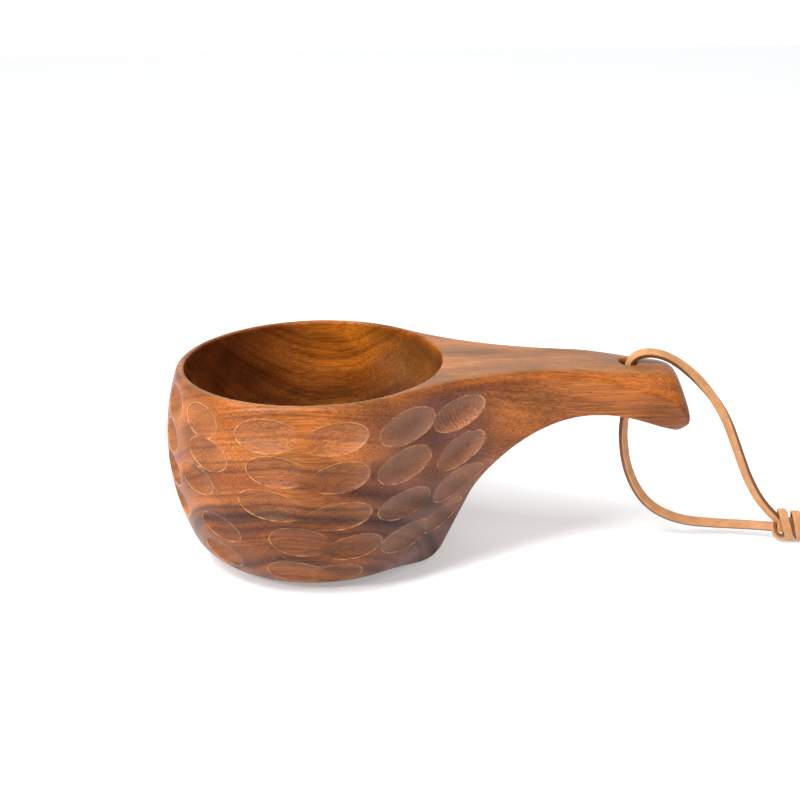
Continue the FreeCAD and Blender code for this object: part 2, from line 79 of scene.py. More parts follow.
class Nodes:
    """Small helper that adds shader nodes and links them."""

    def __init__(self, material):
        material.use_nodes = True
        self.tree = material.node_tree
        self.tree.nodes.clear()

    def add(self, kind, inputs=None, **settings):
        node = self.tree.nodes.new(kind)
        for key, value in settings.items():
            setattr(node, key, value)
        for key, value in (inputs or {}).items():
            self.put(node.inputs[key], value)
        return node

    def put(self, socket, value):
        if isinstance(value, bpy.types.NodeSocket):
            self.tree.links.new(value, socket)
        elif isinstance(value, bpy.types.Node):
            self.tree.links.new(value.outputs[0], socket)
        else:
            socket.default_value = value

    def math(self, operation, first, second=0.0, clamp=False):
        node = self.add("ShaderNodeMath", operation=operation, use_clamp=clamp)
        self.put(node.inputs[0], first)
        self.put(node.inputs[1], second)
        return node.outputs[0]

    def scale(self, vector, factors):
        node = self.add("ShaderNodeVectorMath", operation="MULTIPLY")
        self.put(node.inputs[0], vector)
        node.inputs[1].default_value = factors
        return node.outputs[0]

    def noise(self, vector, scale, detail=2.0, rough=0.5):
        node = self.add("ShaderNodeTexNoise")
        self.put(node.inputs["Vector"], vector)
        node.inputs["Scale"].default_value = scale
        node.inputs["Detail"].default_value = detail
        node.inputs["Roughness"].default_value = rough
        return node.outputs["Fac"]

    def step(self, value, low, high, out_low=0.0, out_high=1.0):
        """Smooth step from out_low at low to out_high at high."""
        node = self.add("ShaderNodeMapRange", interpolation_type="SMOOTHSTEP")
        self.put(node.inputs["Value"], value)
        node.inputs["From Min"].default_value = low
        node.inputs["From Max"].default_value = high
        node.inputs["To Min"].default_value = out_low
        node.inputs["To Max"].default_value = out_high
        return node.outputs["Result"]

    def mix(self, share, first, second, blend="MIX"):
        node = self.add("ShaderNodeMix", data_type="RGBA", blend_type=blend)
        self.put(node.inputs["Factor"], share)
        self.put(node.inputs[6], first)
        self.put(node.inputs[7], second)
        return node.outputs[2]

    def attribute(self, name):
        return self.add("ShaderNodeAttribute", attribute_name=name).outputs["Fac"]


def srgb(red, green, blue):
    """Display colour, 0 to 255, as a linear shader colour."""
    values = [v / 255.0 for v in (red, green, blue)]
    linear = [v / 12.92 if v <= 0.04045 else ((v + 0.055) / 1.055) ** 2.4 for v in values]
    return (*linear, 1.0)


# ---------------------------------------------------------------- cup shape, in millimetres

HEIGHT = 65.5
WALL_RADIUS, WALL_HEIGHT, WALL_ARC, FOOT_CORNER = 49.0, 40.0, 74.0, 18.0
RIM_INSIDE, HOLLOW_HEIGHT, HOLLOW_ARC, HOLLOW_CORNER, FLOOR = 42.0, 42.0, 90.0, 22.0, 6.5
HOLLOW_WIDEST = RIM_INSIDE + HOLLOW_ARC
HOLLOW_WIDEST -= math.sqrt(HOLLOW_ARC ** 2 - (HEIGHT - HOLLOW_HEIGHT) ** 2)
HANDLE_HALF, HANDLE_TAPER, HANDLE_END = 13.1, 0.010, 122.3
HANDLE_CORNER_LOW, HANDLE_CORNER_HIGH = 0.9, 7.0
SHOULDER_RADIUS = 90.0
ARCH_X, ARCH_Z, ARCH_RADIUS = 92.0, 3.8, 46.0
PROW_LEAN, PROW_FOOT, PROW_HALF = math.radians(63.8), 10.0, 14.0
HOOK_SLOPE, HOOK_CORNER = math.radians(23.0), 0.6
TOP_START, TOP_RADIUS, END_RADIUS = 64.0, 520.0, 12.0
CROWN_RADIUS = 24.0
HOLE_X, HOLE_RADIUS = 102.5, 3.0
LOW_EDGE, RIM_EDGE, HANDLE_EDGE, HOOK_EDGE = 0.8, 1.4, 1.8, 3.6
MOUTH_EDGE, HOLE_EDGE = 0.6, 0.5


def smooth(low, high, value):
    share = np.clip((value - low) / (high - low), 0.0, 1.0)
    return share * share * (3.0 - 2.0 * share)


def lathe_radius(z, widest, height, arc, corner):
    """Radius of a turned wall: an arc that runs into a rounded corner at its foot."""
    middle = widest - arc
    corner_x = middle + math.sqrt((arc - corner) ** 2 - (height - corner) ** 2)
    lean = (corner_x - middle) / (arc - corner)
    meet = corner - corner * math.sqrt(1.0 - lean ** 2)
    upper = middle + np.sqrt(np.maximum(arc ** 2 - (z - height) ** 2, 0.0))
    lower = corner_x + np.sqrt(np.maximum(corner ** 2 - (z - corner) ** 2, 0.0))
    return np.where(z > meet, upper, lower)


def arc_points(x, z, radius, start, end, count):
    angles = np.linspace(start, end, count)
    return [(x + radius * math.cos(a), z + radius * math.sin(a)) for a in angles]


def side_outline():
    """Outline of the handle seen from the side, from the foot round to the rim."""
    quarter = math.pi / 2.0
    prow_top = quarter + PROW_LEAN
    start_x = ARCH_X + ARCH_RADIUS * math.cos(prow_top)
    start_z = ARCH_Z + ARCH_RADIUS * math.sin(prow_top)
    foot_x = start_x - (start_z - PROW_FOOT) / math.tan(PROW_LEAN)
    foot_x -= PROW_FOOT / math.sin(PROW_LEAN)
    points = [(-80.0, 0.0)]
    points += arc_points(foot_x, PROW_FOOT, PROW_FOOT, -quarter, PROW_LEAN - quarter, 14)
    points += arc_points(ARCH_X, ARCH_Z, ARCH_RADIUS, prow_top, quarter - HOOK_SLOPE, 60)
    last_x, last_z = points[-1]
    corner_x = HANDLE_END - HOOK_CORNER
    corner_z = last_z - (corner_x - last_x) * math.tan(HOOK_SLOPE)
    corner_z += HOOK_CORNER / math.cos(HOOK_SLOPE)
    points += arc_points(corner_x, corner_z, HOOK_CORNER, -quarter - HOOK_SLOPE, 0.0, 10)
    end_x = HANDLE_END - END_RADIUS
    rise = math.sqrt((TOP_RADIUS - END_RADIUS) ** 2 - (end_x - TOP_START) ** 2)
    end_z = HEIGHT - TOP_RADIUS + rise
    turn = math.atan2(rise, end_x - TOP_START)
    points += arc_points(end_x, end_z, END_RADIUS, 0.0, turn, 24)
    points += arc_points(TOP_START, HEIGHT - TOP_RADIUS, TOP_RADIUS, turn, quarter, 24)
    points.append((-80.0, HEIGHT))
    return np.array(points)


def polygon_distance(x, z, points):
    """Signed distance to a closed outline, negative inside."""
    nearest = np.full(x.shape, np.inf)
    inside = np.zeros(x.shape, bool)
    for (ax, az), (bx, bz) in zip(points, np.roll(points, -1, axis=0)):
        dx, dz = bx - ax, bz - az
        length = dx * dx + dz * dz
        if length < 1e-12:
            continue
        share = np.clip(((x - ax) * dx + (z - az) * dz) / length, 0.0, 1.0)
        gap = np.hypot(x - ax - share * dx, z - az - share * dz)
        nearest = np.minimum(nearest, gap)
        if dz:
            crossing = (az > z) != (bz > z)
            inside ^= crossing & (x < dx * (z - az) / dz + ax)
    return np.where(inside, -nearest, nearest)


TABLE_STEP = 0.4
TABLE_X = np.arange(-80.0, 140.0, TABLE_STEP)
TABLE_Z = np.arange(-16.0, 92.0, TABLE_STEP)
SIDE_TABLE = polygon_distance(*np.meshgrid(TABLE_X, TABLE_Z, indexing="ij"), side_outline())


def side_distance(x, z):
    """Distance to the side outline, read from the table."""
    fx = np.clip((x - TABLE_X[0]) / TABLE_STEP, 0, len(TABLE_X) - 1.001)
    fz = np.clip((z - TABLE_Z[0]) / TABLE_STEP, 0, len(TABLE_Z) - 1.001)
    i = fx.astype(int)
    j = fz.astype(int)
    a = fx - i
    b = fz - j
    low = SIDE_TABLE[i, j] * (1 - a) + SIDE_TABLE[i + 1, j] * a
    high = SIDE_TABLE[i, j + 1] * (1 - a) + SIDE_TABLE[i + 1, j + 1] * a
    return low * (1 - b) + high * b


def plan_distance(x, y, z, radius):
    """Distance in plan to the bowl circle, the handle's bar and the shoulders between."""
    y = np.abs(y)
    nx, ny = math.sin(HANDLE_TAPER), math.cos(HANDLE_TAPER)
    reach = nx * 60.0 + ny * HANDLE_HALF
    out = reach + SHOULDER_RADIUS
    along = np.sqrt(np.maximum((radius + SHOULDER_RADIUS) ** 2 - out ** 2, 1.0))
    cx = nx * out + ny * along
    cy = ny * out - nx * along
    side = nx * x + ny * y - reach
    vx = x - cx
    vy = y - cy
    from_centre = np.hypot(vx, vy)
    bowl_x = -cx / (radius + SHOULDER_RADIUS)
    bowl_y = -cy / (radius + SHOULDER_RADIUS)
    within = (bowl_x * vy - bowl_y * vx >= 0) & (vy * nx - vx * ny >= 0) & (x > 0)
    turn = HANDLE_CORNER_LOW
    turn = turn + (HANDLE_CORNER_HIGH - HANDLE_CORNER_LOW) * smooth(44.0, 58.0, z)
    qx = x - (HANDLE_END - turn)
    qy = side + turn
    corner = np.hypot(qx, qy) - turn
    bar = np.where((qx > 0) & (qy > 0), corner, np.maximum(qx, qy) - turn)
    bar = np.maximum(bar, -x)
    plain = np.minimum(np.hypot(x, y) - radius, bar)
    return np.where(within, np.minimum(plain, SHOULDER_RADIUS - from_centre), plain)


def prow_place(z):
    """Where the side outline stands at each height, below the arch's top."""
    start_x = ARCH_X - ARCH_RADIUS * math.sin(PROW_LEAN)
    start_z = ARCH_Z + ARCH_RADIUS * math.cos(PROW_LEAN)
    straight = start_x - (start_z - z) / math.tan(PROW_LEAN)
    inner = np.maximum(ARCH_RADIUS ** 2 - (z - ARCH_Z) ** 2, 0.0)
    curved = ARCH_X - np.sqrt(inner)
    return np.where(z < start_z, straight, curved)


def hull_distance(x, y, z, radius):
    """Distance in plan to the bowl circle and the straight flanks down to the prow."""
    y = np.abs(y)
    prow = prow_place(z)
    reach = np.hypot(prow, PROW_HALF)
    circle = np.minimum(radius, reach - 0.5)
    turn = np.arctan2(PROW_HALF, prow) + np.arccos(circle / reach)
    nx, ny = np.cos(turn), np.sin(turn)
    flank = nx * x + ny * y - circle
    along = ny * x - nx * y
    length = np.sqrt(np.maximum(reach ** 2 - circle ** 2, 0.0))
    beyond = np.maximum(flank, y - PROW_HALF)
    result = np.where(along < 0, np.hypot(x, y) - radius, flank)
    return np.where(along > length, beyond, result)


def rounded_max(first, second, radius):
    """Intersection of two distances with a rounded edge."""
    a = np.maximum(first + radius, 0.0)
    b = np.maximum(second + radius, 0.0)
    return np.minimum(-radius, np.maximum(first, second)) + np.hypot(a, b)


def block_distance(x, y, z):
    """Distance to the outside of the carved block, without scoops, hollow or hole."""
    radius = lathe_radius(np.clip(z, 0.0, HEIGHT + 2.0), WALL_RADIUS, WALL_HEIGHT,
                          WALL_ARC, FOOT_CORNER)
    crowned = z + smooth(84.0, 116.0, x) * y * y / (2.0 * CROWN_RADIUS)
    edge = RIM_EDGE + HANDLE_EDGE * smooth(30.0, 80.0, x) + HOOK_EDGE * smooth(92.0, 122.0, x)
    edge = LOW_EDGE + (edge - LOW_EDGE) * smooth(46.0, 58.0, z)
    high = smooth(22.0, 50.0, z)
    plan = plan_distance(x, y, z, radius) * high
    plan = plan + hull_distance(x, y, z, radius) * (1.0 - high)
    side = np.where(z > 50.0, side_distance(x, crowned), side_distance(x, z))
    return rounded_max(plan, side, edge)


def hollow_distance(x, y, z):
    """Distance to the hollow, positive inside the wood."""
    radius = lathe_radius(np.clip(z - FLOOR, 0.0, None), HOLLOW_WIDEST,
                          HOLLOW_HEIGHT - FLOOR, HOLLOW_ARC, HOLLOW_CORNER)
    return np.maximum(np.hypot(x, y) - radius, FLOOR - z)


# ---------------------------------------------------------------- scoops

# One column of gouge marks: angle round the bowl, (height, shift in degrees) of each mark,
# half length, half width, tilt, and the side on which a mark fades (-1 left, 1 right, 0 none).
SCOOP_COLUMNS = [
    (-158.0, [(58.0, 0), (47.0, 0), (36.0, 1), (25.0, 3)], 7.0, 4.9, -14.0, 0),
    (-133.0, [(57.6, -2), (47.8, 3), (38.2, -4), (23.0, 6), (12.0, 2)], 7.8, 4.8, -10.0, 0),
    (-105.0, [(56.8, 0), (45.9, 4), (34.6, 1), (21.7, 11), (8.5, 9)], 9.6, 5.2, -5.0, 1),
    (-76.0, [(55.9, -1), (43.8, 0), (30.6, -1), (18.6, 5), (7.6, -3)], 9.2, 4.8, 5.0, -1),
    (-50.0, [(55.6, 2), (43.9, -1), (30.6, -1), (17.6, 2)], 10.2, 4.9, 10.0, 0),
    (-27.0, [(55.6, 0), (43.6, -1), (32.2, 0), (20.0, -1)], 9.4, 4.8, 20.0, 0),
]
SCOOP_DEPTH = 2.1
SCOOP_SOFT = 0.06
SCOOP_REACH, SCOOP_THROUGH = 1.7, 7.0
FADE_STRETCH, FADE_START, FADE_SHARE = 1.2, 0.35, 0.97
EDGE_REACH = 1.5
SCOOP_SEED = 7


def outside_radius(angle, height):
    """Where a ray from the bowl's axis leaves the block."""
    low, high = 15.0, 80.0
    for _ in range(40):
        middle = (low + high) / 2.0
        x = np.array([middle * math.cos(angle)])
        y = np.array([middle * math.sin(angle)])
        if block_distance(x, y, np.array([height]))[0] < 0.0:
            low = middle
        else:
            high = middle
    return low


def block_slope(x, y, z, step=0.05):
    """Unit outward direction of the block at a point."""
    here = np.array([[x, y, z]]).T
    slope = []
    for axis in range(3):
        ahead = here.copy()
        behind = here.copy()
        ahead[axis] += step
        behind[axis] -= step
        slope.append((block_distance(*ahead) - block_distance(*behind))[0])
    slope = np.array(slope)
    return slope / np.linalg.norm(slope)


def make_scoops():
    """Places and frames of all scoops, the far side roughly mirroring the near one."""
    chance = np.random.default_rng(SCOOP_SEED)
    scoops = []
    for mirror in (1.0, -1.0):
        for angle, marks, length, width, tilt, fade in SCOOP_COLUMNS:
            for level, shift in marks:
                jitter = chance.uniform(-1.0, 1.0, 3)
                turn = math.radians(angle + shift) * mirror
                reach = outside_radius(turn, level)
                place = np.array([reach * math.cos(turn), reach * math.sin(turn), level])
                out = block_slope(*place)
                across = np.cross([0.0, 0.0, 1.0], out)
                across /= np.linalg.norm(across)
                up = np.cross(out, across)
                lean = math.radians(tilt + 6.0 * jitter[0]) * mirror
                u = across * math.cos(lean) + up * math.sin(lean)
                v = -across * math.sin(lean) + up * math.cos(lean)
                scoops.append((place, u, v, out, length + 0.7 * jitter[1],
                               width + 0.35 * jitter[2], fade * mirror))
    return scoops


def scoop_depth(points):
    """Each point's scoop: its depth, distance from its edge, fading and place along it."""
    count = len(points)
    depth = np.full(count, -1.0)
    edge = np.full(count, -EDGE_REACH)
    fading = np.zeros(count)
    along = np.zeros(count)
    for place, u, v, out, length, width, fade in SCOOPS:
        offset = points - place
        close = np.einsum("ij,ij->i", offset, offset) < (length * SCOOP_REACH) ** 2
        near = np.flatnonzero(close & (np.abs(offset @ out) < SCOOP_THROUGH))
        offset = offset[near]
        a = offset @ u / length
        b = offset @ v / width
        gone = np.zeros(len(near))
        if fade:
            a = np.where(a * fade > 0.0, a / FADE_STRETCH, a)
            gone = smooth(FADE_START, 1.0, a * fade)
        size = np.maximum(np.hypot(a, b), 1e-6)
        value = SCOOP_DEPTH * (1.0 - size * size)
        value = np.where(value > 0.0, value * (1.0 - FADE_SHARE * gone), value)
        better = value > depth[near]
        chosen = near[better]
        steepness = np.hypot(a / length, b / width) / size
        depth[chosen] = value[better]
        edge[chosen] = np.clip((1.0 - size) / steepness, -EDGE_REACH, EDGE_REACH)[better]
        fading[chosen] = gone[better]
        along[chosen] = (offset @ u)[better]
    return depth, edge, fading, along


SCOOPS = make_scoops()


def cup_distance(points):
    """Distance to the whole cup."""
    x, y, z = points[:, 0], points[:, 1], points[:, 2]
    block = block_distance(x, y, z)
    near = np.flatnonzero(np.abs(block) < 3.0)
    depth = scoop_depth(points[near])[0]
    cut = 0.5 * (depth + np.sqrt(depth ** 2 + SCOOP_SOFT ** 2))
    block[near] += np.where(depth > -0.9, cut, 0.0)
    body = rounded_max(block, -hollow_distance(x, y, z), MOUTH_EDGE)
    return rounded_max(body, HOLE_RADIUS - np.hypot(x - HOLE_X, y), HOLE_EDGE)


GRID_STEP = 0.85
PROJECT_ROUNDS = 4
PROBE, LEAST_SLOPE, LONGEST_MOVE = 0.04, 0.3, 0.4
INSIDE_DEPTH, LIP_HEIGHT = 0.3, 0.8


def surface_of_cup():
    """Points and faces of the cup's surface, found on a grid and then made exact."""
    low = np.array([-53.0, -52.0, -3.0])
    high = np.array([126.0, 52.0, 69.0])
    counts = np.ceil((high - low) / GRID_STEP).astype(int) + 1
    axes = [low[i] + GRID_STEP * np.arange(counts[i]) for i in range(3)]
    field = np.empty(counts, np.float32)
    plane = np.stack(np.meshgrid(axes[1], axes[2], indexing="ij"), -1).reshape(-1, 2)
    for i, x in enumerate(axes[0]):
        points = np.column_stack([np.full(len(plane), x), plane])
        field[i] = cup_distance(points).reshape(counts[1:])
    grid = openvdb.FloatGrid(3.0 * GRID_STEP)
    grid.copyFromArray(np.clip(field, -3.0 * GRID_STEP, 3.0 * GRID_STEP))
    points, triangles, quads = grid.convertToPolygons(isovalue=0.0, adaptivity=0.0)
    points = low + points.astype(float) * GRID_STEP
    for _ in range(PROJECT_ROUNDS):
        value = cup_distance(points)
        slope = np.empty_like(points)
        for axis in range(3):
            ahead = points.copy()
            ahead[:, axis] += PROBE
            slope[:, axis] = (cup_distance(ahead) - value) / PROBE
        size = np.maximum(np.einsum("ij,ij->i", slope, slope), LEAST_SLOPE)
        points -= slope * np.clip(value / size, -LONGEST_MOVE, LONGEST_MOVE)[:, None]
    return points, triangles, quads


def make_mesh(name, points, faces, smooth_faces=True):
    mesh = bpy.data.meshes.new(name)
    mesh.from_pydata([tuple(p) for p in points], [], faces)
    mesh.validate()
    mesh.update()
    if smooth_faces:
        mesh.polygons.foreach_set("use_smooth", [True] * len(mesh.polygons))
    piece = bpy.data.objects.new(name, mesh)
    bpy.context.scene.collection.objects.link(piece)
    return piece


def add_attribute(piece, name, values):
    layer = piece.data.attributes.new(name, "FLOAT", "POINT")
    layer.data.foreach_set("value", np.asarray(values, np.float32))


def face_volume(points, faces):
    a, b, c = points[faces[:, 0]], points[faces[:, 1]], points[faces[:, 2]]
    return np.einsum("ij,ij->i", a, np.cross(b, c)).sum()


def make_cup():
    points, triangles, quads = surface_of_cup()
    _, edge, fading, along = scoop_depth(points)
    inside = (hollow_distance(*points.T) < INSIDE_DEPTH) & (points[:, 2] < HEIGHT - LIP_HEIGHT)
    edge = np.where(inside, -EDGE_REACH, edge)
    if face_volume(points, quads) < 0.0:
        quads = quads[:, ::-1]
        triangles = triangles[:, ::-1]
    faces = [tuple(int(i) for i in f) for f in quads]
    faces += [tuple(int(i) for i in f) for f in triangles]
    cup = make_mesh("cup_wood", points * MM, faces)
    add_attribute(cup, "scoop_edge", edge)
    add_attribute(cup, "scoop_fading", fading)
    add_attribute(cup, "scoop_along", along)
    add_attribute(cup, "inside", inside.astype(float))
    return cup


# ---------------------------------------------------------------- wood

RING_CENTRE_Y, RING_CENTRE_Z = -105.0, -73.0
# Dark growth streaks: distance from the ring centre, half width, strength, first x, last x.
STREAKS = [
    (119.6, 1.5, 1.0, -60.0, 60.0),
    (122.4, 0.5, 0.7, -60.0, 30.0),
    (116.2, 0.5, 0.6, -30.0, 60.0),
    (107.5, 1.4, 0.95, -60.0, 60.0),
    (110.4, 0.5, 0.6, -10.0, 60.0),
    (104.6, 0.5, 0.6, -60.0, 40.0),
    (126.8, 2.0, 0.85, 5.0, 62.0),
    (101.0, 0.9, 0.6, -60.0, 60.0),
    (133.0, 0.7, 0.30, -60.0, 10.0),
    (158.0, 0.9, 0.25, 60.0, 140.0),
    (176.0, 1.6, 0.35, -60.0, 60.0),
]


class WoodFields:
    """Fields that the wood is made of: place in mm, growth rings, fibres, scoops and a painted
    highlight along the scoop edges.
    """

    def __init__(self, n):
        self.n = n
        place = n.add("ShaderNodeTexCoord").outputs["Object"]
        self.mm = n.scale(place, (1000.0, 1000.0, 1000.0))
        split = n.add("ShaderNodeSeparateXYZ", {"Vector": self.mm})
        self.x, self.y, self.z = split.outputs
        self.ring = self.make_ring()
        self.fibres = n.noise(n.scale(self.mm, (0.055, 2.4, 2.4)), 1.0, 3.0, 0.62)
        self.threads = n.noise(n.scale(self.mm, (0.16, 6.5, 6.5)), 1.0, 2.0)
        edge = n.attribute("scoop_edge")
        crisp = n.math("SUBTRACT", 1.0, n.attribute("scoop_fading"))
        self.scoop = n.math("MULTIPLY", n.step(edge, -0.05, 0.30), crisp)
        self.bevel = n.math("MULTIPLY", n.step(edge, -0.10, 0.80), crisp)
        # Painted highlight: a thin bright line along each scoop's edge, broken here and there.
        off = n.math("DIVIDE", edge, 0.17)
        line = n.math("POWER", 2.718, n.math("MULTIPLY", n.math("MULTIPLY", off, off), -1.0))
        broken = n.step(n.noise(n.scale(self.mm, (0.30, 0.50, 0.50)), 1.0), 0.35, 0.65, 0.15, 1.0)
        self.painted_highlight_line = n.math("MULTIPLY", n.math("MULTIPLY", line, crisp), broken)
        self.inside = n.attribute("inside")

    def make_ring(self):
        """Distance from the rings' centre, along X below the cup, wandering with noise."""
        n = self.n
        wander = n.noise(n.scale(self.mm, (0.018, 0.010, 0.010)), 1.0, 2.0)
        ripple = n.noise(n.scale(self.mm, (0.035, 0.07, 0.07)), 1.0, 2.0)
        dy = n.math("SUBTRACT", self.y, RING_CENTRE_Y)
        dz = n.math("SUBTRACT", self.z, RING_CENTRE_Z)
        ring = n.math("ADD", n.math("MULTIPLY", dy, dy), n.math("MULTIPLY", dz, dz))
        ring = n.math("SQRT", ring)
        ring = n.math("ADD", ring, n.math("MULTIPLY", n.math("SUBTRACT", wander, 0.5), 12.0))
        return n.math("ADD", ring, n.math("MULTIPLY", n.math("SUBTRACT", ripple, 0.5), 2.6))

    def ring_noise(self, x_scale, ring_scale, detail):
        n = self.n
        vector = n.add("ShaderNodeCombineXYZ", {
            "X": n.math("MULTIPLY", self.x, x_scale),
            "Y": n.math("MULTIPLY", self.ring, ring_scale),
            "Z": n.math("MULTIPLY", self.y, x_scale * 2.0)})
        return n.noise(vector.outputs[0], 1.0, detail)

    def span(self, value, low, high, soft):
        """One between low and high, fading out over soft on each side."""
        return self.n.math("MULTIPLY", self.n.step(value, low - soft, low + soft),
                           self.n.step(value, high + soft, high - soft))


def heartwood(n, wood):
    """Base colour: broad bands, growth rings, tints of each region and dark streaks. Most region
    tints are painted light: sheen on the flank, tops and handle end, a golden band on rounded
    edges, and painted light and shade inside the bowl.
    """
    colour = n.mix(n.step(wood.ring_noise(0.006, 0.10, 3.0), 0.34, 0.62),
                   srgb(122, 62, 26), srgb(170, 98, 44))
    rings = n.math("MULTIPLY", n.step(wood.ring_noise(0.012, 0.85, 4.0), 0.58, 0.36),
                   n.step(wood.ring_noise(0.015, 0.16, 2.0), 0.38, 0.60, 0.06, 0.50))
    colour = n.mix(rings, colour, srgb(80, 36, 20))

    # Flank tint, purple-grey: partly the wood's own tone, partly painted sheen over the flank and
    # the right shoulder.
    flank = n.math("MULTIPLY", wood.span(wood.x, 20.0, 58.0, 10.0), n.step(wood.z, 66.0, 60.0))
    blotch = n.noise(n.scale(wood.mm, (0.02, 0.05, 0.05)), 1.0, 2.0)
    flank = n.math("MULTIPLY", flank, n.step(blotch, 0.30, 0.62, 0.50, 0.90))
    colour = n.mix(flank, colour, srgb(104, 66, 58))

    facing = n.add("ShaderNodeSeparateXYZ", {
        "Vector": n.add("ShaderNodeNewGeometry").outputs["Normal"]}).outputs[2]
    # Painted sheen: a paler, greyer tan where the surface faces up near the top.
    top = n.math("MULTIPLY", n.step(facing, 0.80, 0.97), n.step(wood.z, 56.0, 58.5))
    colour = n.mix(n.math("MULTIPLY", top, 0.62), colour, srgb(152, 100, 50))
    # Painted light: a golden band on the rounded edges, chosen by how far the surface faces up,
    # where the top's sheen falls off.
    shoulder_light_band = n.math("MULTIPLY", wood.span(facing, 0.30, 0.80, 0.14), n.step(wood.x, 34.0, 52.0))
    colour = n.mix(n.math("MULTIPLY", shoulder_light_band, 0.45), colour, srgb(178, 92, 26))
    # Handle end tint, purple-grey: partly the end's own tone, partly painted sheen.
    end = n.step(wood.x, 116.0, 121.5)
    colour = n.mix(n.math("MULTIPLY", end, 0.55), colour, srgb(140, 92, 72))

    # Painted light inside the bowl: the right side and upper wall made brighter and more orange.
    painted_inside_light = n.math("MULTIPLY", n.step(wood.x, -32.0, 18.0, 0.05, 0.75),
                    n.step(wood.z, 30.0, 56.0, 0.10, 1.0))
    painted_inside_light = n.math("MULTIPLY", painted_inside_light, wood.inside)
    colour = n.mix(painted_inside_light, colour, n.mix(1.0, colour, (2.4, 2.4, 0.60, 1.0), "MULTIPLY"))
    # Painted shade: the inside darker towards the bottom of the hollow.
    painted_hollow_shade = n.math("MULTIPLY", wood.inside, n.step(wood.z, 50.0, 24.0, 0.0, 0.55))
    colour = n.mix(painted_hollow_shade, colour, n.mix(1.0, colour, (0.25, 0.25, 0.25, 1.0), "MULTIPLY"))
    for distance, width, strength, first, last in STREAKS:
        off = n.math("DIVIDE", n.math("SUBTRACT", wood.ring, distance), width)
        line = n.math("POWER", 2.718, n.math("MULTIPLY", n.math("MULTIPLY", off, off), -1.0))
        share = n.math("MULTIPLY", line, wood.span(wood.x, first, last, 8.0))
        share = n.math("MULTIPLY", share, strength)
        share = n.math("MULTIPLY", share, n.step(wood.fibres, 0.30, 0.65, 1.0, 0.72))
        colour = n.mix(share, colour, srgb(50, 20, 18))
    return colour


def shaded(n, colour, shade):
    grey = n.add("ShaderNodeCombineColor", {"Red": shade, "Green": shade, "Blue": shade})
    return n.mix(1.0, colour, grey.outputs[0], "MULTIPLY")


def wood_material():
    material = bpy.data.materials.new("oiled_wood")
    n = Nodes(material)
    wood = WoodFields(n)
    colour = heartwood(n, wood)

    # Cloudy patches, fibres and threads, then pores: short dark dashes along the grain.
    clouds = n.noise(n.scale(wood.mm, (0.035, 0.09, 0.09)), 1.0, 3.0)
    colour = shaded(n, colour, n.step(clouds, 0.30, 0.70, 0.68, 1.25))
    colour = shaded(n, colour, n.step(wood.fibres, 0.28, 0.72, 0.66, 1.28))
    colour = shaded(n, colour, n.step(wood.threads, 0.30, 0.70, 0.84, 1.14))
    cells = n.add("ShaderNodeTexVoronoi", {
        "Vector": n.scale(wood.mm, (0.34, 1.9, 1.9)), "Scale": 1.0}, feature="F1")
    gate = n.noise(n.scale(wood.mm, (0.08, 0.25, 0.25)), 1.0, 2.0)
    pore = n.math("MULTIPLY", n.step(cells.outputs["Distance"], 0.26, 0.12),
                  n.step(gate, 0.36, 0.54))
    pore = n.math("MULTIPLY", pore, n.step(wood.scoop, 0.0, 1.0, 0.72, 0.95))
    colour = n.mix(pore, colour, srgb(58, 24, 14))
    pale = n.math("MULTIPLY", wood.scoop, n.step(wood.x, 8.0, 28.0, 0.06, 0.16))
    colour = n.mix(pale, colour, srgb(206, 160, 130))
    # Painted highlight along the scoop edges.
    colour = n.mix(n.math("MULTIPLY", wood.painted_highlight_line, 0.62), colour, srgb(232, 170, 112))

    height = n.math("MULTIPLY", wood.fibres, 0.5)
    height = n.math("SUBTRACT", height, n.math("MULTIPLY", pore, 1.4))
    height = n.math("ADD", height, n.math("MULTIPLY", wood.painted_highlight_line, 1.2))
    height = n.math("SUBTRACT", height, n.math("MULTIPLY", wood.bevel, 2.2))
    phase = n.math("MULTIPLY", n.noise(wood.mm, 0.25, 3.0), 14.0)
    phase = n.math("ADD", phase, n.math("MULTIPLY", n.attribute("scoop_along"), 4.2))
    ridges = n.math("MULTIPLY", n.math("SINE", phase), n.step(wood.z, 40.0, 52.0, 0.25, 1.0))
    on_flank = n.math("MULTIPLY", n.step(wood.x, 34.0, 42.0), wood.scoop)
    height = n.math("ADD", height, n.math("MULTIPLY", n.math("MULTIPLY", ridges, on_flank), 0.55))
    rough_cut = n.noise(wood.mm, 1.3, 3.0)
    torn = n.math("MULTIPLY", n.math("MULTIPLY", rough_cut, wood.scoop), 1.6)
    height = n.math("ADD", height, torn)
    bump = n.add("ShaderNodeBump", {"Height": height, "Strength": 0.5, "Distance": 0.0003})

    gloss = n.step(wood.fibres, 0.3, 0.7, 0.30, 0.38)
    roughness = n.math("ADD", gloss, n.math("MULTIPLY", wood.scoop, 0.16))
    shader = n.add("ShaderNodeBsdfPrincipled", {
        "Base Color": colour, "Roughness": roughness, "Normal": bump.outputs[0]})
    shader.inputs["IOR"].default_value = 1.48
    shader.inputs["Specular IOR Level"].default_value = 0.22
    n.add("ShaderNodeOutputMaterial", {"Surface": shader.outputs[0]})
    return material


# ---------------------------------------------------------------- lace

